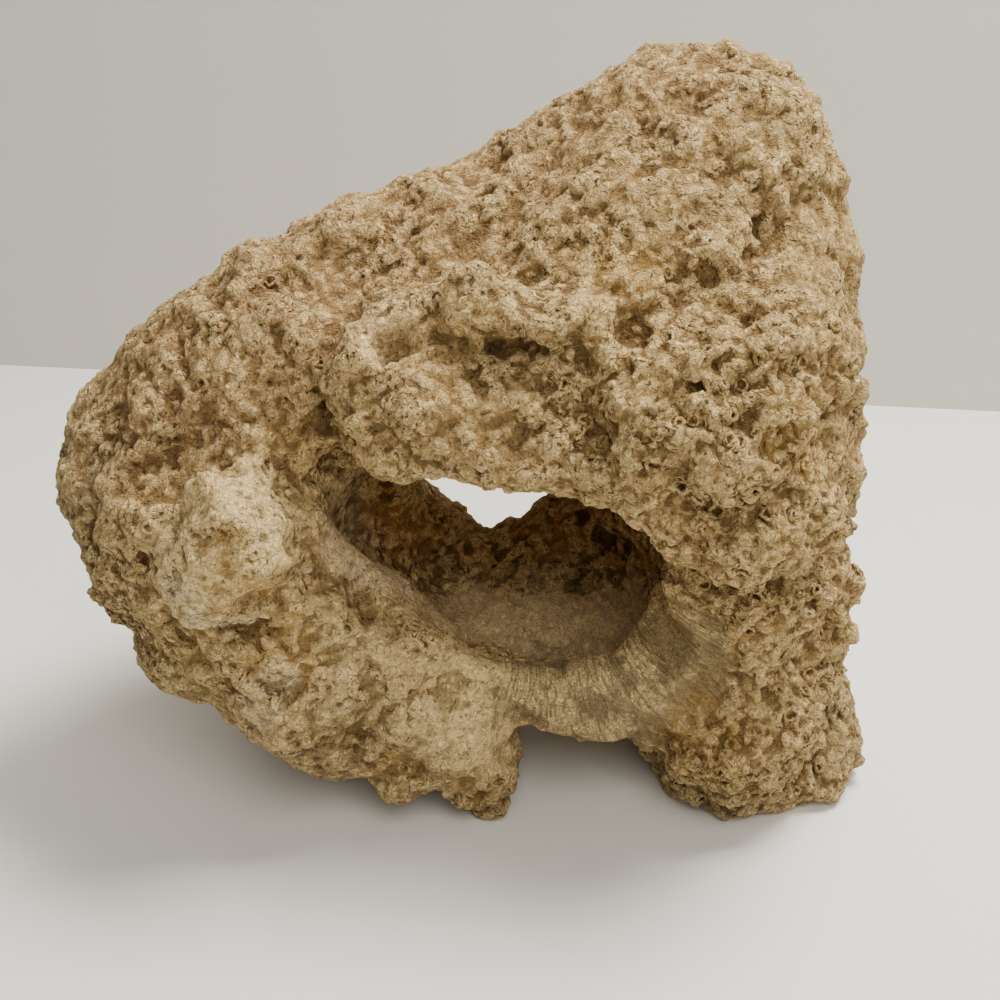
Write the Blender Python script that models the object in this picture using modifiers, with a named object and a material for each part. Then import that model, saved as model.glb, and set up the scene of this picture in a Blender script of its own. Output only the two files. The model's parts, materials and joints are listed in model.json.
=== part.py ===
"""Fossil coral head: one weathered lump of reef coral with a tunnel worn through it.

The lump is modelled the way it grew and wore. Rounded masses are fused into one body, hollows are
bored out of it, knobs and pits are added, the surface is roughened, and the feet are cut flat where
the lump rests. All of it is one solid, because it grew as one piece.

Frame: x to the right, y to the back, z up. The origin lies on the rest plane, under the middle of
the lump's box. The forms are given about the tunnel instead, so every object is placed by the same
step.
"""

import bmesh
import bpy
from mathutils import Matrix, Vector

MM = 0.001

# The step from the tunnel's own origin to the lump's, in millimetres.
STEP = (8.0, -12.3, 0)

# Every form below is the hull of a few balls, each given as (x, y, z, radius) in millimetres.

# The great masses: a roof that climbs from the left end to the peak, and what carries it.
MASSES = {
    "roof_left": (
        (-105, 4, 102, 28),
        (-87, 6, 118, 31),
        (-62, 12, 133, 33),
        (-20, 22, 149, 33),
        (14, 26, 162, 33),
        (72, 12, 136, 31),
        (10, -18, 138, 25),
        (-40, -12, 132, 22),
        (40, 46, 120, 36),
        (-60, 36, 100, 36),
    ),
    "roof_peak": (
        (14, 26, 160, 32),
        (50, 32, 182, 36),
        (68, 24, 178, 33),
        (74, 10, 140, 31),
        (10, -16, 140, 25),
        (46, 46, 130, 38),
    ),
    "right_brow": (
        (58, -34, 126, 29),
        (68, -32, 114, 27),
        (52, -40, 114, 19),
        (74, -14, 138, 29),
        (48, -34, 142, 18),
        (76, -10, 106, 28),
        (60, -44, 108, 15),
    ),
    "right_cheek": (
        (72, -16, 78, 28),
        (72, 22, 80, 34),
        (77, -12, 52, 27),
        (66, 30, 50, 36),
    ),
    "right_foot": (
        (72, -20, 26, 28),
        (58, -18, 20, 18),
        (88, -14, 12, 18),
        (82, 14, 22, 25),
        (70, 30, 30, 34),
        (77, -12, 52, 27),
    ),
    "left_arm": (
        (-105, 4, 102, 28),
        (-92, -12, 74, 28),
        (-76, -28, 96, 28),
        (-86, -12, 56, 24),
        (-64, -28, 74, 24),
        (-60, 22, 70, 40),
    ),
    "left_keel": (
        (-86, -12, 56, 24),
        (-62, -28, 64, 26),
        (-45, -22, 34, 24),
        (-22, -26, 30, 20),
        (-28, -30, 54, 18),
        (-52, 22, 46, 36),
        (-44, -2, 14, 16),
    ),
    "front_foot": ((-14, -26, 34, 20), (-3, -34, 0, 8), (-10, -30, 16, 14)),
    "bridge": ((-10, -28, 50, 16), (26, -25, 43, 14), (60, -20, 38, 18)),
    "back": (
        (-58, 42, 42, 36),
        (46, 50, 44, 36),
        (-52, 44, 108, 34),
        (46, 48, 124, 36),
        (0, 46, 128, 34),
    ),
    "back_foot": ((-50, 38, 26, 32), (0, 46, 24, 26), (40, 48, 26, 32)),
}

# What wore away: the tunnel with its wide mouth, and the arch between the feet.
HOLLOWS = {
    "mouth": (
        (-14, -52, 92, 22),
        (6, -56, 88, 25),
        (18, -54, 86, 24),
        (34, -52, 72, 16),
        (4, -14, 80, 28),
        (18, -14, 77, 28),
    ),
    "chamber": ((-4, 4, 70, 29), (24, 2, 62, 30), (10, 10, 76, 28)),
    "tunnel": (
        (-1, 12, 80, 8),
        (-28, 10, 106, 12),
        (28, 10, 106, 12),
        (-1, 100, 44, 10),
        (-30, 100, 80, 12),
        (30, 100, 80, 12),
    ),
    "back_bay": (
        (-28, 102, 84, 22),
        (30, 102, 78, 24),
        (-18, 102, 40, 16),
        (16, 102, 36, 18),
        (-2, 64, 76, 15),
        (0, 66, 62, 10),
    ),
    "nook": ((-46, -32, 112, 8), (-34, -12, 100, 12), (-30, -2, 84, 16)),
    "arch": (
        (34, -72, 12, 11),
        (38, -72, 12, 11),
        (35, -28, 13, 10),
        (38, -26, 13, 10),
        (28, -50, 0, 12),
        (30, 0, 2, 12),
    ),
    "undercut": ((-10, 6, -12, 24), (30, 8, -14, 24), (-30, -2, -12, 18)),
}

# Lumps and ledges that stand out of the masses.
KNOBS = {
    "crest": ((46, 30, 212, 9), (62, 30, 213, 8), (56, 26, 204, 10)),
    "crest_knob": ((77, 30, 206, 7), (82, 28, 196, 9)),
    "ridge_step": ((-26, 20, 176, 8), (-12, 22, 180, 8)),
    "heel": ((102, -8, 14, 13), (100, 2, 26, 14), (94, -20, 8, 13)),
    "toe_right": ((66, -28, 12, 13), (84, -27, 10, 14)),
    "toe_left": ((55, -20, 4, 9), (58, -18, 16, 11)),
    "flank_low": ((94, -14, 68, 13), (92, -6, 54, 13), (97, -12, 42, 11)),
    "cheek": ((68, -40, 78, 12), (80, -34, 74, 14), (74, -34, 62, 12)),
    "brow_skirt": ((50, -52, 106, 11), (64, -54, 103, 13), (82, -40, 105, 13)),
    "brow_edge": ((36, -50, 134, 9), (40, -52, 114, 9)),
    "brow_top": ((52, -46, 148, 10), (66, -42, 150, 12)),
    "middle_left": ((-34, -30, 144, 12), (-40, -32, 132, 9), (-20, -40, 134, 10)),
    "middle_right": ((-8, -40, 132, 10), (10, -38, 134, 11), (24, -38, 136, 11)),
    "shoulder": ((-30, -26, 150, 9), (-10, -26, 160, 10), (20, -30, 156, 11)),
    "lip": ((-34, -42, 120, 8), (-14, -46, 122, 7), (10, -47, 122, 7), (28, -48, 118, 8)),
    "left_lobe": ((-72, -46, 104, 18), (-80, -46, 92, 16), (-62, -47, 98, 14)),
    "left_crust": ((-82, -42, 82, 10), (-70, -46, 77, 11)),
    "left_shelf": ((-102, -13, 84, 14), (-96, -20, 94, 13)),
    "left_knob": ((-105, -18, 66, 12), (-99, -20, 58, 12)),
    "left_bead": ((-97, -26, 50, 9), (-90, -30, 43, 8)),
    "keel_lump": ((-62, -42, 62, 14), (-48, -42, 50, 14), (-64, -38, 46, 12)),
    "keel_low": ((-36, -34, 24, 12), (-24, -36, 20, 11)),
    "back_ledge": ((-62, 62, 114, 12), (-20, 72, 124, 13), (34, 78, 136, 13), (60, 62, 150, 12)),
    "back_left": ((-70, 60, 60, 20), (-48, 72, 36, 17), (-76, 46, 84, 14)),
    "back_right": ((64, 72, 60, 17), (56, 78, 34, 14), (82, 50, 96, 14)),
    "back_low": ((2, 70, 18, 16), (22, 76, 14, 13)),
    "side_right": ((98, 12, 116, 12), (98, 20, 130, 10), (94, -4, 148, 9)),
    "side_low": ((98, 30, 44, 14), (94, 44, 26, 14)),
}

# Clefts, dents and deep pits.
PITS = {
    "crevice": ((-53, -44, 138, 6), (-52, -40, 122, 8)),
    "lobe_cleft": ((-51, -48, 120, 6), (-48, -52, 108, 5), (-46, -52, 94, 5)),
    "lobe_valley": ((-98, -35, 114, 6), (-84, -38, 122, 7), (-66, -42, 126, 7)),
    "hollow_over_lip": ((4, -50, 148, 8), (14, -50, 145, 8)),
    "flank_pit": ((92, -34, 89, 6), (95, -22, 88, 7)),
    "brow_valley": ((27, -54, 154, 6), (27, -55, 138, 6), (28, -58, 124, 5)),
    "brow_pit": ((54, -62, 152, 5), (54, -52, 152, 5)),
    "keel_valley": ((-84, -52, 70, 5), (-64, -56, 72, 6), (-46, -50, 76, 5)),
    "cheek_valley": ((60, -56, 60, 6), (90, -44, 56, 6)),
    "under_brow": ((52, -62, 88, 6), (72, -60, 88, 6), (92, -40, 90, 5)),
    "back_dent": ((-20, 84, 148, 14), (16, 88, 160, 14)),
    "back_cleft": ((-40, 86, 66, 8), (-34, 88, 100, 7)),
    "right_cleft": ((112, 6, 84, 8), (108, 38, 70, 9)),
    "right_dent": ((112, 30, 160, 12), (110, 36, 142, 8)),
    "left_dent": ((-124, 40, 84, 16), (-112, 56, 64, 12)),
}

# Voxel sizes, in millimetres, of the forms while they are fused, and of the finished surface.
FORM_VOXEL = 2.5
SURFACE_VOXEL = 2.0
# The share of the fine faces that the finished lump keeps.
KEPT_FACES = 0.072

# Relief of the weathered surface: noise kind, depth in millimetres, and the noise's own settings.
RELIEF = {
    "swells": ("CLOUDS", 8, {"noise_scale": 0.035, "noise_depth": 1}),
    "crags": ("CLOUDS", 6, {"noise_scale": 0.014, "noise_depth": 2, "noise_type": "HARD_NOISE"}),
    "dents": ("VORONOI", 5, {"noise_scale": 0.017}),
}

# The block that planes the feet flat, in millimetres.
PLANE_WIDTH = 400
PLANE_DEPTH = 100

STONE_COLOUR = (0.53, 0.40, 0.25, 1)
STONE_ROUGHNESS = 0.92


def clear_scene():
    for obj in list(bpy.data.objects):
        bpy.data.objects.remove(obj)


def new_collection(name):
    collection = bpy.data.collections.new(name)
    bpy.context.scene.collection.children.link(collection)
    return collection


def new_object(name, mesh, collection):
    """Turns a bmesh into a placed object of a collection."""
    data = bpy.data.meshes.new(name)
    mesh.to_mesh(data)
    mesh.free()
    obj = bpy.data.objects.new(name, data)
    obj.location = Vector(STEP) * MM
    collection.objects.link(obj)
    return obj


def hull_of(balls):
    """The convex hull of some balls, as a bmesh."""
    hull = bmesh.new()
    for x, y, z, radius in balls:
        place = Matrix.Translation(Vector((x, y, z)) * MM)
        bmesh.ops.create_icosphere(hull, subdivisions=3, radius=radius * MM, matrix=place)
    made = bmesh.ops.convex_hull(hull, input=hull.verts)
    outside = set(made["geom"])
    inside = [v for v in made["geom_interior"] if isinstance(v, bmesh.types.BMVert)]
    bmesh.ops.delete(hull, geom=inside, context="VERTS")
    bmesh.ops.delete(hull, geom=[f for f in hull.faces if f not in outside], context="FACES")
    return hull


def model_forms(name, forms, collection):
    """One object that holds the hull of every form."""
    together = bmesh.new()
    for balls in forms.values():
        hull = hull_of(balls)
        data = bpy.data.meshes.new("form")
        hull.to_mesh(data)
        hull.free()
        together.from_mesh(data)
        bpy.data.meshes.remove(data)
    return new_object(name, together, collection)


def fuse(obj, voxel, soften_rounds):
    """Melts what overlaps into one skin and softens its seams."""
    remesh = obj.modifiers.new("fuse", "REMESH")
    remesh.mode = "VOXEL"
    remesh.voxel_size = voxel * MM
    soften = obj.modifiers.new("soften", "SMOOTH")
    soften.factor = 0.5
    soften.iterations = soften_rounds


def model_cutter(name, forms, soften_rounds, collection):
    """Forms that are joined to the lump or bored out of it, and hidden themselves."""
    cutter = model_forms(name, forms, collection)
    fuse(cutter, FORM_VOXEL, soften_rounds)
    hide(cutter)
    return cutter


def hide(cutter):
    cutter.hide_render = True
    cutter.display_type = "WIRE"


def combine(obj, operation, other):
    step = obj.modifiers.new(other.name, "BOOLEAN")
    step.operation = operation
    step.object = other


def roughen(obj, name, kind, depth, settings):
    """Pushes the surface in and out by a solid noise."""
    noise = bpy.data.textures.new(name, kind)
    for setting, value in settings.items():
        setattr(noise, setting, value)
    relief = obj.modifiers.new(name, "DISPLACE")
    relief.texture = noise
    relief.texture_coords = "LOCAL"
    relief.strength = depth * MM


def model_plane_cutter(collection):
    """A block whose top is the rest plane."""
    block = bmesh.new()
    place = Matrix.Translation((0, 0, -PLANE_DEPTH * MM / 2))
    size = Matrix.Diagonal((PLANE_WIDTH * MM, PLANE_WIDTH * MM, PLANE_DEPTH * MM, 1))
    bmesh.ops.create_cube(block, size=1, matrix=place @ size)
    cutter = new_object("rest_plane", block, collection)
    hide(cutter)
    return cutter


def stone_material():
    material = bpy.data.materials.new("fossil_coral")
    material.use_nodes = True
    surface = material.node_tree.nodes["Principled BSDF"]
    surface.inputs["Base Color"].default_value = STONE_COLOUR
    surface.inputs["Roughness"].default_value = STONE_ROUGHNESS
    surface.inputs["Metallic"].default_value = 0
    return material


def main():
    clear_scene()
    coral = new_collection("fossil coral head")
    cutters = new_collection("cutters")
    head = model_forms("coral_head", MASSES, coral)
    fuse(head, FORM_VOXEL, 4)
    combine(head, "DIFFERENCE", model_cutter("hollows", HOLLOWS, 3, cutters))
    combine(head, "UNION", model_cutter("knobs", KNOBS, 1, cutters))
    combine(head, "DIFFERENCE", model_cutter("pits", PITS, 1, cutters))
    fuse(head, SURFACE_VOXEL, 1)
    for name, (kind, depth, settings) in RELIEF.items():
        roughen(head, name, kind, depth, settings)
    fuse(head, SURFACE_VOXEL, 1)
    thin = head.modifiers.new("thin", "DECIMATE")
    thin.ratio = KEPT_FACES
    combine(head, "DIFFERENCE", model_plane_cutter(cutters))
    head.data.materials.append(stone_material())


main()
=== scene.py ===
"""Fossil coral head: the dressed lump, its coral cups and the table that it stands on.

The file is laid out as an add-on: sizes and colours are properties, and each group of pieces has
an operator. The lump's skin starts as a copy of the solid head and is worn, pitted and stained
from named places, and its material paints shade into the hollows, creases and underside and
light on the crests and the tunnel's floor. Places and sizes in the tables are in millimetres
about the tunnel, and TUNNEL_STEP carries them into the head's own frame.
"""

import json
import math

import bpy
import numpy as np
from bpy.props import FloatProperty, FloatVectorProperty, IntProperty, PointerProperty
from mathutils import Euler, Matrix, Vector, kdtree

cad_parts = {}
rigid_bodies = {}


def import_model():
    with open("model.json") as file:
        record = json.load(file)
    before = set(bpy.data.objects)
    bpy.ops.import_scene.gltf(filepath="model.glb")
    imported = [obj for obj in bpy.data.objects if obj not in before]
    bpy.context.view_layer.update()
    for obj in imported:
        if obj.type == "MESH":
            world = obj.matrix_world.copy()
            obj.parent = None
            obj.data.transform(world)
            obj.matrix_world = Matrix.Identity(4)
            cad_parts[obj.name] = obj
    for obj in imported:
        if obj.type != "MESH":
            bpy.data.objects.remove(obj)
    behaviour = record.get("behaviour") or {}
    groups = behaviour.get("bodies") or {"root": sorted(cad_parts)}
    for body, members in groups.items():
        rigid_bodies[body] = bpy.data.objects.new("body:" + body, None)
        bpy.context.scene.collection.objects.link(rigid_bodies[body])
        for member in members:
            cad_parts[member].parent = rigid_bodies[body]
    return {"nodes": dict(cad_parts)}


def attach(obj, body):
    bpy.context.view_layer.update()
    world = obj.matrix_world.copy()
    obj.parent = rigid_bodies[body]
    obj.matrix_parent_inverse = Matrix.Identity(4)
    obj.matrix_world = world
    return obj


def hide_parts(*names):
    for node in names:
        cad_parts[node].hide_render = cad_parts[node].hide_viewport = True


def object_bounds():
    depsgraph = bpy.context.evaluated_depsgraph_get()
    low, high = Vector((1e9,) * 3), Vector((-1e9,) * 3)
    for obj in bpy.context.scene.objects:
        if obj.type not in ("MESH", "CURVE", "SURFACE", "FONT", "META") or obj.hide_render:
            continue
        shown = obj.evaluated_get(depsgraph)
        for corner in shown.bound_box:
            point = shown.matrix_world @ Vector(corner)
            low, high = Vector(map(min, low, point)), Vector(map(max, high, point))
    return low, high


bl_info = {
    "name": "Fossil Coral Head",
    "version": (1, 0, 0),
    "blender": (4, 5, 0),
    "location": "View3D > Sidebar > Fossil Coral",
    "description": "Models a weathered fossil coral head on a plain table",
    "category": "Add Mesh",
}

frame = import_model()

MM = 0.001
NODE = "coral_head"
BODY = "root"
SKIN = "coral_stone"
RIMS = "coral_cup_rims"
TUNNEL_STEP = np.array((8.0, -12.3, 0.0))
CAD_BOX = [[float(v) for v in corner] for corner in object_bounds()]
# The least distance, in mm, from the dressed stone to the sides of the solid head's box.
BOX_MARGIN = 0.1
# Heights over the table, in mm: the relief fades in from the first to the second.
TABLE_FADE = (0.3, 3.0)
# Heights, in mm, over which the painted shade of the underside fades out.
UNDERSIDE_FADE = (2.0, 38.0)
# Shares of a ball's radius: a zone is full up to the first and ends at the second.
ZONE_EDGE = (0.6, 1.15)
# The share of its radius at which a moved place ends.
PLACE_END = 1.15
# Rounds of smoothing that tell a pore from the stone about it, and a dent from the lump.
PORE_ROUNDS = 3
DENT_ROUNDS = 24
# The grid of the first rebuild, against the skin's own.
COARSE = 1.25
CUP_SEED = 11
RIM_SEED = 23

# ---------------------------------------------------------------- places, in mm about the tunnel

# Where the stone differs from place to place, and where shade or light is painted on it. A place
# is a few balls (x, y, z, radius).
ZONES = {
    "cups": (
        (58, -60, 128, 38),
        (70, -50, 108, 36),
        (50, -50, 156, 26),
        (74, -46, 76, 24),
        (72, -42, 24, 32),
        (97, -10, 60, 40),
        (84, -30, 140, 20),
        (30, -50, 142, 22),
        (-100, -20, 70, 24),
    ),
    "strata": ((-30, -38, 140, 34), (6, -44, 138, 30), (-46, -34, 134, 20), (60, -20, 160, 22)),
    "fibre": (
        (42, -38, 52, 24),
        (26, -38, 46, 20),
        (10, -40, 46, 14),
        (54, -38, 62, 14),
        (36, -30, 34, 14),
    ),
    "smooth": ((-38, -20, 84, 20), (-32, -28, 60, 20), (-8, -36, 34, 24), (-22, -30, 46, 20)),
    "rosy": ((-95, -16, 136, 40), (-50, -8, 168, 40), (0, 10, 190, 40), (45, 24, 212, 30)),
    # grey: a greyish tone and painted shade on the ends, on the bridge under the brow and on the
    # low keel.
    "grey": (
        (-124, -10, 100, 30),
        (-112, -20, 62, 26),
        (26, -39, 43, 24),
        (100, 0, 90, 20),
        (-46, -48, 36, 22),
        (-30, -44, 25, 16),
    ),
    "ochre": (
        (-66, -56, 88, 13),
        (-58, -54, 68, 14),
        (58, -45, 32, 15),
        (-70, -60, 106, 8),
        (74, -50, 130, 14),
        (34, -20, 166, 11),
        (-8, -42, 14, 12),
        (-30, -46, 22, 11),
        (-76, -54, 124, 10),
    ),
    "white": (
        (-84, -54, 84, 11),
        (-66, -52, 50, 9),
        (-62, -54, 58, 7),
        (-72, -52, 78, 8),
        (-22, -42, 10, 7),
    ),
    "cream": ((-72, -58, 108, 30), (-14, -44, 42, 26), (-44, -54, 64, 20), (-30, -34, 156, 12)),
    "dark": ((8, 16, 106, 44), (0, 32, 78, 32), (30, 28, 76, 31), (-24, 26, 82, 30)),
    # band: the pale floor of the tunnel, brightened as painted light where light falls in under
    # the lip.
    "band": ((-6, 12, 32, 24), (16, 14, 30, 24), (38, 12, 34, 22), (-22, -6, 48, 20)),
    # Painted shade on the underside beneath the arch between the feet.
    "arch_shade": ((14, -14, 6, 24), (20, 10, 2, 26), (0, 8, 2, 26)),
    "lavender": ((-38, -22, 86, 18), (-34, -18, 64, 18), (-44, 6, 80, 12)),
    "green": ((108, -6, 20, 24), (-92, -24, 40, 26), (70, -46, 8, 20)),
}

# Deep pits, clefts and burrows: (x, y, z, radius, depth). The point is near the surface.
BURROWS = (
    (65, 0, 171, 2.6, 4),
    (54, -13, 163, 2.6, 4),
    (49, -13, 163, 2.2, 3),
    (60, -10, 164, 2.0, 3),
    (48, -56, 146, 3.2, 6),
    (53, -56, 145, 2.2, 4),
    (44, -59, 122, 2.0, 5),
    (90, -32, 91, 4, 8),
    (84, -40, 96, 2.4, 4),
    (-4, 6, 182, 2.2, 6),
    (-50, -34, 132, 4, 7),
    (-52, -36, 124, 4, 8),
    (-57, -52, 66, 2.6, 6),
    (-54, -52, 63, 2.0, 5),
    (-42, -46, 32, 2.4, 4),
    (-1, -37, 151, 2.6, 4),
    (5, -37, 151, 2.8, 4),
    (11, -38, 150, 2.4, 3.5),
    (-16, -35, 151, 2.2, 3.5),
    (-12, -35, 152, 1.8, 2.5),
    (34, 36, 62, 4, 6),
    (28, 38, 66, 3, 6),
    (-16, 38, 66, 3, 5),
    (98, -20, 120, 2.4, 3),
    (-88, -30, 90, 2.4, 3),
)

# Knobs, ledges and edges that stand out: (x, y, z, radius, height).
SWELLS = (
    (-24, -31, 155, 7, 2.5),
    (-10, -32, 157, 7, 3.5),
    (2, -33, 157, 7, 4),
    (13, -35, 156, 7, 3.5),
    (27, -41, 149, 6, 3),
    (30, -47, 139, 7, 3.5),
    (34, -55, 130, 7, 3),
    (-46, -31, 141, 8, 3),
    (-36, -38, 145, 7, 2.5),
    (-22, -44, 137, 8, 2.5),
    (-12, -47, 128, 7, 2.5),
    (6, -46, 136, 8, 2.5),
    (64, -58, 142, 7, 3),
    (54, -61, 126, 9, 2.5),
    (72, -60, 108, 8, 2.5),
    (52, -60, 112, 6, 2),
    (39, -26, 161, 8, 3),
    (58, -16, 172, 8, 2.5),
    (-70, -60, 112, 8, 2.5),
    (-64, -61, 98, 8, 2.5),
    (-58, -50, 76, 7, 2.5),
    (-46, -52, 60, 7, 2.5),
    (-60, -48, 44, 7, 2.5),
    (-118, -14, 106, 8, 2.5),
    (-108, -20, 88, 7, 2),
    (96, -30, 70, 7, 2.5),
    (88, -36, 40, 8, 2.5),
    (66, -46, 26, 7, 2.5),
    (20, 40, 120, 10, 3),
    (-40, 44, 100, 9, 3),
    (70, 40, 140, 10, 3),
    (-90, 20, 90, 9, 3),
    (-92, -31, 108, 7, 4),
    (-95, -30, 112, 6, 2.5),
    (-72, -58, 88, 7, 2.5),
    (-73, -50, 71, 7, 2.5),
    (-66, -48, 58, 6, 2.5),
    (4, 48, 58, 6, 3),
    (10, 46, 60.5, 6, 3.2),
    (16, 46, 63, 6, 2.6),
    (22, 45, 67, 6, 2.6),
    (-13, 55, 60, 5, 2),
)
# Valleys between them: (x, y, z, radius, depth).
VALLEYS = (
    (21, -39, 149, 6, 3),
    (22, -45, 139, 6, 3.5),
    (25, -50, 131, 6, 3),
    (-8, -36, 150, 7, 2.5),
    (4, -38, 150, 8, 3),
    (-26, -35, 148, 6, 2.5),
    (-28, -42, 140, 5, 2.5),
    (-27, -45, 131, 5, 2),
    (50, -40, 154, 7, 2.5),
    (62, -34, 154, 7, 2.5),
    (78, -50, 124, 7, 2.5),
    (42, -58, 118, 5, 2),
    (-56, -56, 90, 6, 2.5),
    (-70, -55, 88, 6, 2),
    (-52, -49, 70, 5, 2),
    (-60, -45, 56, 6, 2.5),
    (90, -38, 56, 6, 2.5),
    (0, 44, 130, 9, 3),
    (48, 46, 120, 9, 3),
    (-60, 36, 100, 9, 3),
    (3, -50, 114, 8, 2),
    (10, -51, 114, 8, 3),
    (17, -52, 114, 7, 2.6),
)

# The relief's noises, coarse to fine: (height in mm, width in mm, seed).
LUMPS = ((2.0, 21.0, 1), (1.2, 11.0, 2))
CRAGS = ((0.75, 7.4, 8), (0.85, 4.4, 9))
CRUMBS = ((0.7, 2.9, 12), (0.45, 1.9, 13))
# Grain by zone: (zone, height, width and seed, the way it runs, how far it is drawn out).
STREAKS = (
    ("rosy", 0.6, 3.4, 31, (0.86, 0.1, 0.5), 0.78),
    ("strata", 1.2, 4.6, 33, (0.94, 0.0, 0.3), 0.72),
)

# Where the ribs below the tunnel's mouth run together: (x, z).
FAN_MIDDLE = (12.0, 84.0)

# The coral's cups, in mm.
CUP_SPACING = 4.2
CUP_RADIUS = (1.2, 1.8)
CUP_DEPTH = 1.2
# The share of the places that carry a cup, away from the zone of cups and at its heart.
CUPS_ANYWHERE = 0.002
CUPS_IN_ZONE = 0.1
RIM_SIDES = 11
RIM_WALL = (0.5, 0.8)
RIM_TILT = 0.12
# The rims count as low crests, so they take some of the painted highlight of crests and none of
# the painted shade of hollows and dents, and stay as pale as the stone about them.
RIM_HOLLOW = -0.1
# A rim's section, in walls from the middle of the wall: (out, up).
RIM_PROFILE = ((-1.0, -0.7), (-0.35, 0.5), (0.55, 0.35), (1.0, -0.7))

# ---------------------------------------------------------------- solid noise

# The noise grids are turned away from the axes, so that no row of them lines up with the stone.
TURN = np.array(Euler((0.6, 0.4, 0.9)).to_matrix())
HASH_STEPS = np.array((374761393, 668265263, 1440662683))


def lattice(cell, seed):
    """A fixed random value from -1 to 1 for each whole-number cell."""
    mixed = cell @ HASH_STEPS + seed * 974711
    mixed = (mixed ^ (mixed >> 13)) * 1274126177
    mixed = mixed ^ (mixed >> 16)
    return (mixed & 0xFFFF) / 32767.5 - 1.0


def noise(points, size, seed):
    """Smooth random values from -1 to 1 that change over a length of size."""
    grid = points @ TURN / size + seed * 7.31
    cell = np.floor(grid).astype(np.int64)
    part = grid - cell
    part = part * part * (3.0 - 2.0 * part)
    total = np.zeros(len(points))
    for corner in range(8):
        step = np.array([corner & 1, corner >> 1 & 1, corner >> 2 & 1])
        weight = np.prod(np.where(step, part, 1.0 - part), axis=1)
        total += weight * lattice(cell + step, seed)
    return total


def layered(points, size, octaves, seed):
    """Noise with finer and finer noise added."""
    total = np.zeros(len(points))
    for octave in range(octaves):
        total += noise(points, size / 2**octave, seed + octave) / 2**octave
    return total


def billows(points, size, seed):
    """Rounded swellings with sharp creases between them, about zero."""
    return np.abs(noise(points, size, seed)) * 2.0 - 0.6


def heap(points, layers):
    """Billows of several sizes, added up."""
    return sum(height * billows(points, size, seed) for height, size, seed in layers)


def ramp(values, low, high):
    """0 below low, 1 above high, and smooth between."""
    part = np.clip((values - low) / (high - low), 0.0, 1.0)
    return part * part * (3.0 - 2.0 * part)


# ---------------------------------------------------------------- meshes as arrays


def read_points(mesh):
    """A mesh's points in mm about the tunnel."""
    points = np.empty(len(mesh.vertices) * 3)
    mesh.vertices.foreach_get("co", points)
    return points.reshape(-1, 3) / MM - TUNNEL_STEP


def write_points(mesh, points):
    mesh.vertices.foreach_set("co", ((points + TUNNEL_STEP) * MM).ravel())
    mesh.update()


def read_normals(mesh):
    normals = np.empty(len(mesh.vertices) * 3)
    mesh.vertices.foreach_get("normal", normals)
    return normals.reshape(-1, 3)


def write_attribute(mesh, name, values):
    layer = mesh.attributes.get(name) or mesh.attributes.new(name, "FLOAT", "POINT")
    layer.data.foreach_set("value", values.astype(np.float32))


def read_attribute(mesh, name):
    values = np.empty(len(mesh.vertices))
    mesh.attributes[name].data.foreach_get("value", values)
    return values


def tree_of(points):
    tree = kdtree.KDTree(len(points))
    for index, point in enumerate(points):
        tree.insert(point, index)
    tree.balance()
    return tree


def nearest(tree, points):
    """For each point, the nearest of the tree's points and how far away it is."""
    found = [tree.find(point)[1:] for point in points]
    return np.array([f[0] for f in found]), np.array([f[1] for f in found])


def zone(points, name, ragged=4.0):
    """How far each point belongs to a zone, from 0 to 1, with a ragged edge."""
    shift = ragged * layered(points, 9.0, 3, 40)
    belongs = np.zeros(len(points))
    for x, y, z, radius in ZONES[name]:
        away = np.linalg.norm(points - (x, y, z), axis=1) + shift
        belongs = np.maximum(belongs, 1.0 - ramp(away, *(radius * edge for edge in ZONE_EDGE)))
    return belongs


def scatter(points, spacing, rng):
    """One of the points at random in each cell of a grid, as their indices."""
    order = rng.permutation(len(points))
    cells = np.floor(points[order] / spacing).astype(np.int64)
    keys = (cells[:, 0] * 4001 + cells[:, 1]) * 4001 + cells[:, 2]
    first = np.unique(keys, return_index=True)[1]
    return order[first]


# ---------------------------------------------------------------- Blender steps


def deselect():
    if bpy.context.object and bpy.context.object.mode != "OBJECT":
        bpy.ops.object.mode_set(mode="OBJECT")
    bpy.ops.object.select_all(action="DESELECT")


def choose(obj):
    deselect()
    obj.select_set(True)
    bpy.context.view_layer.objects.active = obj


def apply_modifier(obj, kind, **settings):
    choose(obj)
    step = obj.modifiers.new(kind.lower(), kind)
    for setting, value in settings.items():
        setattr(step, setting, value)
    bpy.ops.object.modifier_apply(modifier=step.name)


def copy_head(name):
    """A merged copy of the solid head, free of the frame."""
    choose(frame["nodes"][NODE])
    bpy.ops.object.duplicate()
    skin = bpy.context.object
    bpy.ops.object.parent_clear(type="CLEAR_KEEP_TRANSFORM")
    bpy.ops.object.transform_apply(location=True, rotation=True, scale=True)
    skin.name = name
    skin.data = skin.data.copy()
    skin.data.name = name
    skin.data.materials.clear()
    bpy.ops.object.mode_set(mode="EDIT")
    bpy.ops.mesh.select_all(action="SELECT")
    bpy.ops.mesh.remove_doubles(threshold=0.00001)
    bpy.ops.object.mode_set(mode="OBJECT")
    return skin


def remesh(skin, voxel):
    apply_modifier(skin, "REMESH", mode="VOXEL", voxel_size=voxel)


# ---------------------------------------------------------------- relief of the skin


def keep_inside(points):
    """Holds points in the head's box and flat on the rest plane."""
    low, high = (np.array(corner) / MM - TUNNEL_STEP for corner in CAD_BOX)
    return np.clip(points, low + BOX_MARGIN, high - BOX_MARGIN)


def push(mesh, depth):
    """Moves each point out along its normal by depth, in mm, fading out at the rest plane."""
    points = read_points(mesh)
    near_table = ramp(points[:, 2], *TABLE_FADE)
    points = points + read_normals(mesh) * (depth * near_table)[:, None]
    write_points(mesh, keep_inside(points))


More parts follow.
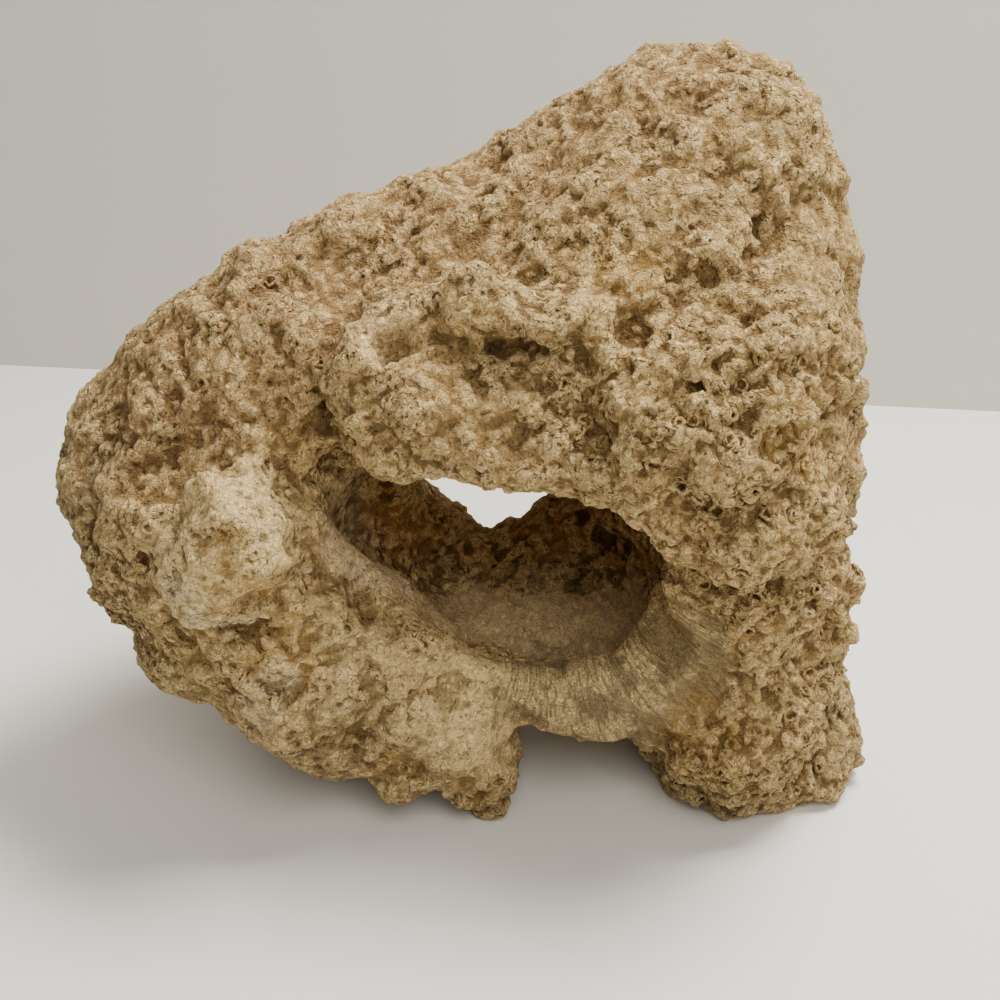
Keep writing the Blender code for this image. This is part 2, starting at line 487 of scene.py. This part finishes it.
def shift(mesh, places, way, sharp, ragged):
    """Moves the skin at each place, out (way 1) or in (way -1), along the place's own normal.

    The full move is reached at the share sharp of the radius, and ragged makes the edge wander.
    """
    points = read_points(mesh)
    normals = read_normals(mesh)
    tree = tree_of(points)
    moved = points.copy()
    edge = 1.0 + ragged * noise(points, 2.4, 5) + 0.2 * noise(points, 7.0, 6)
    for x, y, z, radius, amount in places:
        index = tree.find((x, y, z))[1]
        centre, out = points[index], normals[index]
        offset = points - centre
        along = offset @ out
        across = np.linalg.norm(offset - along[:, None] * out, axis=1) * edge
        near = np.linalg.norm(offset, axis=1) < radius * 2.5
        far = amount * (1.0 - ramp(across, radius * sharp, radius * PLACE_END))
        moved += np.where(near, way * far, 0.0)[:, None] * out
    write_points(mesh, keep_inside(moved))


def roughness_of(points):
    """How rough the stone is: 1 in most places and less where it is ribbed or worn smooth."""
    return 1.0 - np.maximum(0.75 * zone(points, "fibre"), 0.55 * zone(points, "smooth"))


def lumps(points, rough):
    """Knobbly relief a centimetre or two across."""
    return heap(points, LUMPS) * rough


def crags(points, rough):
    """Broken relief some millimetres across, with ragged holes where the stone is most porous."""
    porous = ramp(layered(points, 26.0, 2, 90) + 0.5 * zone(points, "cups"), -0.2, 0.6)
    holes = ramp(-layered(points, 4.0, 2, 95), 0.74 - 0.1 * porous, 1.0)
    deep = 1.0 + 0.45 * zone(points, "cups")
    relief = heap(points, CRAGS) * (0.55 + 0.8 * porous) - 1.8 * holes * porous
    return relief * rough * deep


def crumbs(points, rough):
    """Crumbs of stone and the finer pores between them."""
    cupped = zone(points, "cups")
    pores = ramp(-layered(points, 2.6, 2, 98), 0.62 - 0.08 * cupped, 0.9)
    return (heap(points, CRUMBS) * (0.8 + 0.5 * cupped) - pores) * rough


def cups(points, centres, radii):
    """A round pit at each of the coral's cups."""
    index, away = nearest(tree_of(centres), points)
    return -CUP_DEPTH * (1.0 - ramp(away / radii[index], 0.35, 1.25))


def fan(points):
    """The angle round the tunnel, which the ribs below its mouth follow."""
    return np.arctan2(points[:, 0] - FAN_MIDDLE[0], FAN_MIDDLE[1] - points[:, 2])


def stretched(points, along, by):
    """The points with their run along a direction cut by a share."""
    along = np.array(along) / np.linalg.norm(along)
    return points - by * (points @ along)[:, None] * along


def streaks(points):
    """Grain that runs down the long slope and along the layers over the tunnel."""
    return sum(
        billows(stretched(points, along, by), size, seed) * height * zone(points, name)
        for name, height, size, seed, along, by in STREAKS
    )


def place_cups(points, rng):
    """Points of the skin that carry one of the coral's cups."""
    spots = points[scatter(points, CUP_SPACING, rng)]
    worn_away = np.maximum(zone(spots, "dark"), zone(spots, "fibre"))
    chance = CUPS_ANYWHERE + CUPS_IN_ZONE * zone(spots, "cups", 7.0) - worn_away
    return spots[(rng.random(len(spots)) < chance) & (spots[:, 2] > 3.0)]


def wear(skin, sizes):
    """Gives the skin its named places and then its relief, each layer finer than the last."""
    shift(skin.data, SWELLS, way=1.0, sharp=0.2, ragged=0.0)
    shift(skin.data, VALLEYS, way=-1.0, sharp=0.1, ragged=0.1)
    shift(skin.data, BURROWS, way=-1.0, sharp=0.45, ragged=0.45)
    points = read_points(skin.data)
    push(skin.data, lumps(points, roughness_of(points)) * sizes.relief)
    remesh(skin, sizes.voxel * COARSE)
    points = read_points(skin.data)
    push(skin.data, (crags(points, roughness_of(points)) + streaks(points)) * sizes.relief)
    remesh(skin, sizes.voxel)
    points = read_points(skin.data)
    rng = np.random.default_rng(CUP_SEED)
    centres = place_cups(points, rng)
    radii = rng.uniform(*CUP_RADIUS, len(centres))
    fine = crumbs(points, roughness_of(points)) + cups(points, centres, radii)
    push(skin.data, fine * sizes.relief)
    return centres, radii


def thin_out(skin, most):
    """Drops the faces that carry the least shape until at most this many are left."""
    count = sum(len(face.vertices) - 2 for face in skin.data.polygons)
    if count > most:
        apply_modifier(skin, "DECIMATE", ratio=most / count)


def hollowness(mesh, rounds):
    """How far each point lies below the mean of those around it, in mm; a crest is below zero."""
    points = read_points(mesh)
    ends = np.empty(len(mesh.edges) * 2, np.int64)
    mesh.edges.foreach_get("vertices", ends)
    first, second = ends[0::2], ends[1::2]
    count = np.bincount(ends, minlength=len(points))
    even = points
    for _ in range(rounds):
        total = [
            np.bincount(first, even[second, axis], len(points))
            + np.bincount(second, even[first, axis], len(points))
            for axis in range(3)
        ]
        even = np.stack(total, axis=1) / count[:, None]
    return np.sum((even - points) * read_normals(mesh), axis=1)


def record_masks(skin):
    """Keeps on the skin how hollow each point is, from which the material paints shade and
    highlights, and which zone it is in.
    """
    points = read_points(skin.data)
    write_attribute(skin.data, "hollow", hollowness(skin.data, PORE_ROUNDS))
    write_attribute(skin.data, "dent", hollowness(skin.data, DENT_ROUNDS))
    for name in ZONES:
        write_attribute(skin.data, name, zone(points, name))
    # How near the bottom each point is, which the material turns into painted shade.
    height = points[:, 2] + 5.0 * noise(points, 8.0, 61)
    underside = 1.0 - ramp(height, *UNDERSIDE_FADE)
    write_attribute(skin.data, "foot", underside)
    write_attribute(skin.data, "fan", fan(points))


def record_cups(skin, centres, radii):
    """Marks the point at the bottom of each cup with the cup's radius."""
    points = read_points(skin.data)
    cup = np.zeros(len(points))
    cup[nearest(tree_of(points), centres)[0]] = radii
    write_attribute(skin.data, "cup", cup)


# ---------------------------------------------------------------- materials


class Shader:
    """A small helper that adds and joins shader nodes."""

    def __init__(self, name):
        self.material = bpy.data.materials.new(name)
        self.material.use_nodes = True
        self.tree = self.material.node_tree
        self.surface = self.tree.nodes["Principled BSDF"]
        self.where = self.add("ShaderNodeTexCoord").outputs["Object"]

    def add(self, kind, **settings):
        node = self.tree.nodes.new(kind)
        for setting, value in settings.items():
            setattr(node, setting, value)
        return node

    def join(self, source, target):
        """Links an output to an input, or sets the input to a number or a colour."""
        if isinstance(source, (int, float)):
            target.default_value = source
        elif isinstance(source, tuple):
            target.default_value = (*source, 1.0)[:4]
        else:
            self.tree.links.new(source, target)

    def set_inputs(self, node, names, values):
        for name, value in zip(names, values):
            self.join(value, node.inputs[name])

    def noise_node(self, where, scale, detail, roughness):
        node = self.add("ShaderNodeTexNoise")
        names = ("Vector", "Scale", "Detail", "Roughness")
        self.set_inputs(node, names, (where, scale, detail, roughness))
        return node

    def noise(self, scale, detail, roughness):
        return self.noise_node(self.where, scale, detail, roughness).outputs["Fac"]

    def cells(self, scale):
        node = self.add("ShaderNodeTexVoronoi", feature="F1")
        self.set_inputs(node, ("Vector", "Scale"), (self.where, scale))
        return node.outputs["Distance"], node.outputs["Color"]

    def warp(self, scale, reach):
        """Makes the textures that follow wander, so that none shows round or straight edges."""
        node = self.noise_node(self.where, scale, 2.0, 0.5)
        shift = self.add("ShaderNodeVectorMath", operation="MULTIPLY_ADD")
        self.join(node.outputs["Color"], shift.inputs[0])
        shift.inputs[1].default_value = (reach, reach, reach)
        self.join(self.where, shift.inputs[2])
        self.where = shift.outputs["Vector"]

    def strokes(self, width, length):
        """Noise drawn out along the ribs that fan round the tunnel."""
        split = self.add("ShaderNodeSeparateXYZ")
        self.join(self.where, split.inputs[0])
        place = self.add("ShaderNodeCombineXYZ")
        self.join(self.times(self.mask("fan"), width), place.inputs["X"])
        self.join(self.times(split.outputs["Z"], length), place.inputs["Y"])
        return self.noise_node(place.outputs["Vector"], 1.0, 3.0, 0.6).outputs["Fac"]

    def mask(self, name):
        """One of the values that the skin's points carry."""
        return self.add("ShaderNodeAttribute", attribute_name=name).outputs["Fac"]

    def between(self, value, low, high, to_low=0.0, to_high=1.0):
        """A value carried smoothly from one range to another, and held at its ends."""
        node = self.add("ShaderNodeMapRange", interpolation_type="SMOOTHSTEP")
        names = ("Value", "From Min", "From Max", "To Min", "To Max")
        self.set_inputs(node, names, (value, low, high, to_low, to_high))
        return node.outputs["Result"]

    def math(self, operation, first, second):
        node = self.add("ShaderNodeMath", operation=operation)
        self.set_inputs(node, (0, 1), (first, second))
        return node.outputs[0]

    def times(self, first, second):
        return self.math("MULTIPLY", first, second)

    def mix(self, amount, first, second):
        node = self.add("ShaderNodeMix", data_type="RGBA")
        self.set_inputs(node, ("Factor", "A", "B"), (amount, first, second))
        return node.outputs["Result"]

    def bump(self, height, distance):
        node = self.add("ShaderNodeBump")
        self.set_inputs(node, ("Height", "Distance"), (height, distance))
        return node.outputs["Normal"]


def stained(s, colours, broad, middle):
    """The stone's body colour, with each zone's stain over it, some of them painted shade or
    painted light.
    """
    colour = s.mix(s.between(broad, 0.35, 0.65), tuple(colours.tan), tuple(colours.cream))
    colour = s.mix(s.times(s.mask("cream"), 0.85), colour, tuple(colours.pale))
    # Each stain's zone, colour and strength, and the noise that breaks it up from low to high.
    stains = (
        ("rosy", colours.rosy, 0.6, middle, 0.35, 0.65),
        ("fibre", colours.lichen, 0.75, broad, 0.2, 0.5),
        # A greyish tone and painted shade.
        ("grey", colours.grey, 0.7, broad, 0.3, 0.6),
        ("green", colours.green, 0.55, middle, 0.35, 0.6),
        ("ochre", colours.ochre, 0.8, middle, 0.38, 0.6),
        ("lavender", colours.lavender, 0.75, broad, 0.2, 0.5),
        ("dark", colours.umber, 0.9, middle, 0.2, 0.6),
        # Pale stone with painted light on the tunnel's floor.
        ("band", colours.band, 0.85, middle, 0.2, 0.5),
        # Painted shade, darker towards the bottom.
        ("foot", colours.grey, 0.7, middle, 0.25, 0.6),
        # Painted shade under the arch.
        ("arch_shade", colours.pore, 0.9, middle, 0.1, 0.3),
        ("white", colours.chalk, 0.75, middle, 0.36, 0.52),
    )
    for name, stain, strength, pattern, low, high in stains:
        amount = s.times(s.mask(name), s.between(pattern, low, high, 0.25, strength))
        colour = s.mix(amount, colour, tuple(stain))
    return colour


def texture_strength(s, broad):
    """How strongly the pores and creases show, in their painted shade and in the bump: least on
    ribs and on smooth or pale stone.
    """
    calm = s.math("MAXIMUM", s.mask("fibre"), s.mask("band"))
    for name, share in (("smooth", 0.5), ("cream", 0.35)):
        calm = s.math("MAXIMUM", calm, s.times(s.mask(name), share))
    return s.times(s.between(calm, 0.0, 1.0, 1.0, 0.25), s.between(broad, 0.38, 0.62, 0.6, 1.2))


def stone_material(colours):
    """Porous coral limestone: pale grains, brown pores and stains by zone, with painted shade in
    its hollows, pores and creases and a painted highlight on its crests.
    """
    s = Shader("fossil_coral_stone")
    broad = s.noise(70.0, 5.0, 0.6)
    middle = s.noise(260.0, 4.0, 0.65)
    s.warp(380.0, 0.005)
    fine = s.noise(900.0, 3.0, 0.7)
    pocks = s.noise(620.0, 3.0, 0.7)
    dust = s.noise(2000.0, 2.0, 0.6)
    crumb, _ = s.cells(300.0)
    grit, grit_value = s.cells(640.0)
    rough = texture_strength(s, broad)

    # Pits and grooves are dug into the bump and darkened as painted shade; creases, cracks, dents
    # and pore bottoms are painted shade only, and crests get a painted highlight.
    pit = s.times(s.between(grit, 0.5, 0.2), s.between(grit_value, 0.27, 0.2))
    pit = s.times(s.math("MAXIMUM", pit, s.between(pocks, 0.42, 0.35)), rough)
    groove = s.times(s.between(s.strokes(46.0, 190.0), 0.5, 0.36), s.mask("fibre"))
    dark, cream = s.mask("dark"), s.mask("cream")
    lit = s.math("SUBTRACT", s.between(dark, 0.0, 1.0, 0.6, 0.2), s.times(cream, 0.2))
    crease_shade = s.times(s.times(s.between(crumb, 0.42, 0.85), rough), lit)
    crack_shade = s.times(s.times(s.between(grit, 0.5, 0.9), rough), lit)
    hollow = s.mask("hollow")
    crest = s.times(s.between(hollow, 0.02, -0.3), s.between(fine, 0.3, 0.7, 0.15, 0.75))
    dent = s.times(s.between(s.mask("dent"), 0.4, 2.6, 0.0, 0.34), rough)
    bottom = s.times(s.between(hollow, 0.05, 0.36, 0.0, 0.66), rough)
    # Painted marks, in order: a painted highlight on the crests, then painted shade in the dents,
    # at the pores' bottoms, in the creases and cracks between the crumbs, in the pits and in the
    # ribs' grooves; for each, how much of it there is, and its colour.
    marks = (
        (crest, colours.pale),
        (dent, colours.bark),
        (bottom, colours.pore),
        (crease_shade, colours.bark),
        (crack_shade, colours.bark),
        (s.times(pit, 0.8), colours.pore),
        (s.times(groove, 0.6), colours.bark),
    )
    colour = stained(s, colours, broad, middle)
    for amount, mark in marks:
        colour = s.mix(amount, colour, tuple(mark))
    mottle = s.times(s.between(dust, 0.3, 0.7, 0.75, 1.25), s.between(fine, 0.3, 0.7, 0.8, 1.2))
    shade = s.add("ShaderNodeHueSaturation")
    s.set_inputs(shade, ("Value", "Color"), (mottle, colour))

    domes = s.times(s.between(crumb, 0.95, 0.1), 0.9)
    grains = s.times(s.between(grit, 0.9, 0.1), 0.5)
    height = s.times(s.math("ADD", domes, grains), rough)
    height = s.math("SUBTRACT", height, s.times(pit, 0.9))
    for layer, amount in ((fine, 1.6), (dust, 0.5), (groove, -0.9)):
        height = s.math("ADD", height, s.times(layer, amount))
    look = (
        ("Base Color", shade.outputs["Color"]),
        ("Roughness", s.between(middle, 0.3, 0.7, 0.82, 1.0)),
        ("Specular IOR Level", 0.25),
        ("Normal", s.bump(height, 0.0013)),
    )
    for name, value in look:
        s.join(value, s.surface.inputs[name])
    return s.material


def clear_from_behind(s):
    """Lets a camera behind a one-sided piece see through it."""
    side = s.add("ShaderNodeNewGeometry").outputs["Backfacing"]
    blend = s.add("ShaderNodeMixShader")
    s.join(side, blend.inputs["Fac"])
    s.join(s.surface.outputs["BSDF"], blend.inputs[1])
    s.join(s.add("ShaderNodeBsdfTransparent").outputs["BSDF"], blend.inputs[2])
    s.join(blend.outputs["Shader"], s.tree.nodes["Material Output"].inputs["Surface"])


def plain_material(name, colour, roughness, one_sided=False):
    s = Shader(name)
    if one_sided:
        clear_from_behind(s)
    names = ("Base Color", "Roughness", "Specular IOR Level")
    s.set_inputs(s.surface, names, (tuple(colour), roughness, 0.3))
    return s.material


# ---------------------------------------------------------------- coral cups


def ring_mesh(radius, wall, sides, rng):
    """One cup's rim: an uneven ring about z, as points and faces."""
    points, faces = [], []
    uneven = 1.0 + rng.uniform(-0.24, 0.24, sides)
    for side in range(sides):
        angle = 2.0 * math.pi * side / sides
        lift = rng.uniform(-0.15, 0.15) * wall
        for out, up in RIM_PROFILE:
            reach = radius * uneven[side] + out * wall
            points.append((reach * math.cos(angle), reach * math.sin(angle), up * wall + lift))
    count = len(RIM_PROFILE)
    for side in range(sides):
        here, there = side * count, (side + 1) % sides * count
        for k in range(count):
            n = (k + 1) % count
            faces.append((here + k, there + k, there + n, here + n))
    return np.array(points), faces


def frame_on(normal, rng):
    """Two directions across a normal, turned at random."""
    side = np.cross(normal, rng.normal(size=3))
    side /= np.linalg.norm(side)
    return side, np.cross(normal, side)


def seat_of(spot, reach, tree, points, normals):
    """Where a rim sits round a cup: on the stone about it, facing as that stone does."""
    around = np.array([found[1] for found in tree.find_range(spot, reach)])
    normal = normals[around].mean(axis=0)
    normal /= np.linalg.norm(normal)
    level = (points[around] - spot) @ normal
    return spot + normal * np.quantile(level, 0.7), normal


def build_rims(skin):
    """All the cups' rims as one piece, which carries the stone's zones with it."""
    rng = np.random.default_rng(RIM_SEED)
    points, normals = read_points(skin.data), read_normals(skin.data)
    tree = tree_of(points)
    cup = read_attribute(skin.data, "cup")
    all_points, all_faces = [], []
    total = 0
    for index in np.flatnonzero(cup > 0.0):
        reach = cup[index] * 1.4 + 1.2
        place, normal = seat_of(points[index], reach, tree, points, normals)
        ring, faces = ring_mesh(cup[index], rng.uniform(*RIM_WALL), RIM_SIDES, rng)
        tilt = normal + rng.normal(size=3) * RIM_TILT
        tilt /= np.linalg.norm(tilt)
        across, over = frame_on(tilt, rng)
        all_points.append(place + ring @ np.array((across, over, tilt)))
        all_faces += [tuple(corner + total for corner in face) for face in faces]
        total += len(ring)
    mesh = bpy.data.meshes.new(RIMS)
    points = keep_inside(np.concatenate(all_points))
    mesh.from_pydata(((points + TUNNEL_STEP) * MM).tolist(), [], all_faces)
    rims = bpy.data.objects.new(RIMS, mesh)
    bpy.context.scene.collection.objects.link(rims)
    index = nearest(tree, points)[0]
    for name in (*ZONES, "foot", "fan"):
        write_attribute(mesh, name, read_attribute(skin.data, name)[index])
    for name in ("hollow", "dent"):
        write_attribute(mesh, name, np.full(len(points), RIM_HOLLOW))
    return rims


# ---------------------------------------------------------------- properties and operators


def colour_property(name, description, default):
    return FloatVectorProperty(
        name=name,
        description=description,
        subtype="COLOR",
        size=3,
        min=0.0,
        max=1.0,
        default=default,
    )


class FossilCoralSizes(bpy.types.PropertyGroup):
    voxel: FloatProperty(
        name="Skin voxel",
        description="Grid that the skin is rebuilt on",
        default=0.001,
        unit="LENGTH",
    )
    relief: FloatProperty(
        name="Relief", description="How strongly the skin is worn, as a factor", default=1.0
    )
    most_faces: IntProperty(
        name="Most faces", description="Triangles that the skin keeps", default=196000
    )


class FossilCoralColours(bpy.types.PropertyGroup):
    cream: colour_property("Cream", "Light body of the stone", (0.70, 0.485, 0.22))
    tan: colour_property("Tan", "Dark body of the stone", (0.52, 0.335, 0.125))
    # Pale: the pale stone of the cream zone, and the painted highlight on crests.
    pale: colour_property("Pale", "Crests of the grains", (0.95, 0.70, 0.325))
    rosy: colour_property("Rosy", "Pinkish slope", (0.44, 0.25, 0.115))
    # Grey: a greyish tone and the painted shade on the ends, the bridge and the underside.
    grey: colour_property("Grey", "Shaded ends and undersides", (0.28, 0.205, 0.11))
    green: colour_property("Green", "Faint weed stain", (0.28, 0.24, 0.11))
    ochre: colour_property("Ochre", "Iron stain", (0.50, 0.29, 0.07))
    lichen: colour_property("Lichen", "Greyish ribs", (0.35, 0.27, 0.14))
    lavender: colour_property("Lavender", "Smooth greyish wall", (0.80, 0.60, 0.37))
    # Bark: painted shade in the dents, creases, cracks and grooves.
    bark: colour_property("Bark", "Creases between the crumbs", (0.29, 0.175, 0.055))
    umber: colour_property("Umber", "Dark stain in the tunnel", (0.60, 0.27, 0.045))
    # Band: pale stone brightened as painted light on the tunnel's floor.
    band: colour_property("Band", "Pale floor of the tunnel", (0.93, 0.68, 0.38))
    chalk: colour_property("Chalk", "White crust", (0.97, 0.77, 0.47))
    # Pore: painted shade at the bottoms of pores, in pits and under the arch.
    pore: colour_property("Pore", "Bottoms of the pores", (0.085, 0.037, 0.006))
    table: colour_property("Table", "Table top", (0.83, 0.815, 0.755))
    wall: colour_property("Wall", "Backdrop", (0.60, 0.58, 0.525))


class FOSSILCORAL_OT_skin(bpy.types.Operator):
    """Model the weathered skin of the lump over the solid head"""

    bl_idname = "fossilcoral.skin"
    bl_label = "Model the stone"

    def execute(self, context):
        sizes = context.scene.fossil_coral_sizes
        skin = copy_head(SKIN)
        remesh(skin, sizes.voxel)
        apply_modifier(skin, "SMOOTH", factor=0.5, iterations=5)
        centres, radii = wear(skin, sizes)
        thin_out(skin, sizes.most_faces)
        record_masks(skin)
        record_cups(skin, centres, radii)
        choose(skin)
        bpy.ops.object.shade_smooth()
        skin.data.materials.append(stone_material(context.scene.fossil_coral_colours))
        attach(skin, BODY)
        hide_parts(NODE)
        return {"FINISHED"}


class FOSSILCORAL_OT_rims(bpy.types.Operator):
    """Raise the rims of the coral cups on the stone"""

    bl_idname = "fossilcoral.rims"
    bl_label = "Raise the cup rims"

    def execute(self, context):
        skin = bpy.data.objects[SKIN]
        rims = build_rims(skin)
        rims.data.materials.append(skin.data.materials[0])
        choose(rims)
        bpy.ops.object.shade_smooth()
        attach(rims, BODY)
        return {"FINISHED"}


class FOSSILCORAL_OT_stage(bpy.types.Operator):
    """Set the table, the backdrop, the lights and the camera"""

    bl_idname = "fossilcoral.stage"
    bl_label = "Set the stage"

    def execute(self, context):
        colours = context.scene.fossil_coral_colours
        build_backdrop(colours)
        build_lights(context.scene)
        build_camera(context.scene)
        return {"FINISHED"}


# ---------------------------------------------------------------- stage

# The camera's place and lens are in mm, its pitch and the wall's turn in degrees, the rest in m.
CAMERA_PLACE = (8.0, -392.95, 267.5)
CAMERA_PITCH = 25.0
CAMERA_LENS = 50.4
CAMERA_SENSOR = 36.0
WALL_BEHIND = 0.326
WALL_TURN = -7.6
STAGE_WIDTH = 3.0
# Square lights, in metres and watts: (name, place, target, width, power, colour).
LIGHTS = (
    ("window_light", (0.34, 0.12, 0.95), (0, 0, 0.08), 0.42, 19.0, (1.0, 0.97, 0.92)),
    ("room_light", (0.22, -0.75, 0.82), (-0.03, 0, 0.08), 0.7, 6.8, (1.0, 0.96, 0.89)),
)
ROOM_COLOUR = (0.95, 0.96, 1.0, 1.0)
ROOM_STRENGTH = 0.3


def build_backdrop(colours):
    deselect()
    bpy.ops.mesh.primitive_plane_add(size=STAGE_WIDTH, location=(0, 0, 0))
    floor = bpy.context.object
    floor.name = "table_top"
    floor.data.materials.append(plain_material("pale_table", colours.table, 0.55))
    deselect()
    bpy.ops.mesh.primitive_plane_add(size=STAGE_WIDTH, rotation=(math.radians(90), 0, 0))
    wall = bpy.context.object
    wall.name = "backdrop"
    wall.location = (0, WALL_BEHIND, STAGE_WIDTH / 2)
    wall.rotation_euler.z = math.radians(WALL_TURN)
    wall.data.materials.append(plain_material("pale_wall", colours.wall, 0.9, one_sided=True))


def add_light(scene, name, place, target, width, power, colour):
    light = bpy.data.lights.new(name, "AREA")
    light.size = width
    light.energy = power
    light.color = colour
    holder = bpy.data.objects.new(name, light)
    holder.location = place
    holder.rotation_euler = (Vector(target) - Vector(place)).to_track_quat("-Z", "Y").to_euler()
    scene.collection.objects.link(holder)


def build_lights(scene):
    for settings in LIGHTS:
        add_light(scene, *settings)
    world = bpy.data.worlds.new("soft_room")
    world.use_nodes = True
    background = world.node_tree.nodes["Background"]
    background.inputs["Color"].default_value = ROOM_COLOUR
    background.inputs["Strength"].default_value = ROOM_STRENGTH
    scene.world = world


def build_camera(scene):
    camera = bpy.data.cameras.new("camera")
    camera.lens = CAMERA_LENS
    camera.sensor_width = CAMERA_SENSOR
    camera.clip_start = 0.01
    holder = bpy.data.objects.new("camera", camera)
    holder.location = Vector(CAMERA_PLACE) * MM
    holder.rotation_euler = (math.radians(90.0 - CAMERA_PITCH), 0.0, 0.0)
    scene.collection.objects.link(holder)
    scene.camera = holder


class FOSSILCORAL_PT_panel(bpy.types.Panel):
    """Sizes, colours and the steps in order"""

    bl_label = "Fossil Coral Head"
    bl_idname = "FOSSILCORAL_PT_panel"
    bl_space_type = "VIEW_3D"
    bl_region_type = "UI"
    bl_category = "Fossil Coral"

    def draw(self, context):
        for group in (context.scene.fossil_coral_sizes, context.scene.fossil_coral_colours):
            for name in group.__annotations__:
                self.layout.prop(group, name)
        for step in STEPS:
            self.layout.operator(step.bl_idname)


STEPS = (FOSSILCORAL_OT_skin, FOSSILCORAL_OT_rims, FOSSILCORAL_OT_stage)
CLASSES = (FossilCoralSizes, FossilCoralColours, *STEPS, FOSSILCORAL_PT_panel)


def register():
    for made in CLASSES:
        bpy.utils.register_class(made)
    bpy.types.Scene.fossil_coral_sizes = PointerProperty(type=FossilCoralSizes)
    bpy.types.Scene.fossil_coral_colours = PointerProperty(type=FossilCoralColours)


def unregister():
    del bpy.types.Scene.fossil_coral_colours
    del bpy.types.Scene.fossil_coral_sizes
    for made in reversed(CLASSES):
        bpy.utils.unregister_class(made)


def main():
    register()
    bpy.ops.fossilcoral.skin()
    bpy.ops.fossilcoral.rims()
    bpy.ops.fossilcoral.stage()


if __name__ == "__main__":
    main()
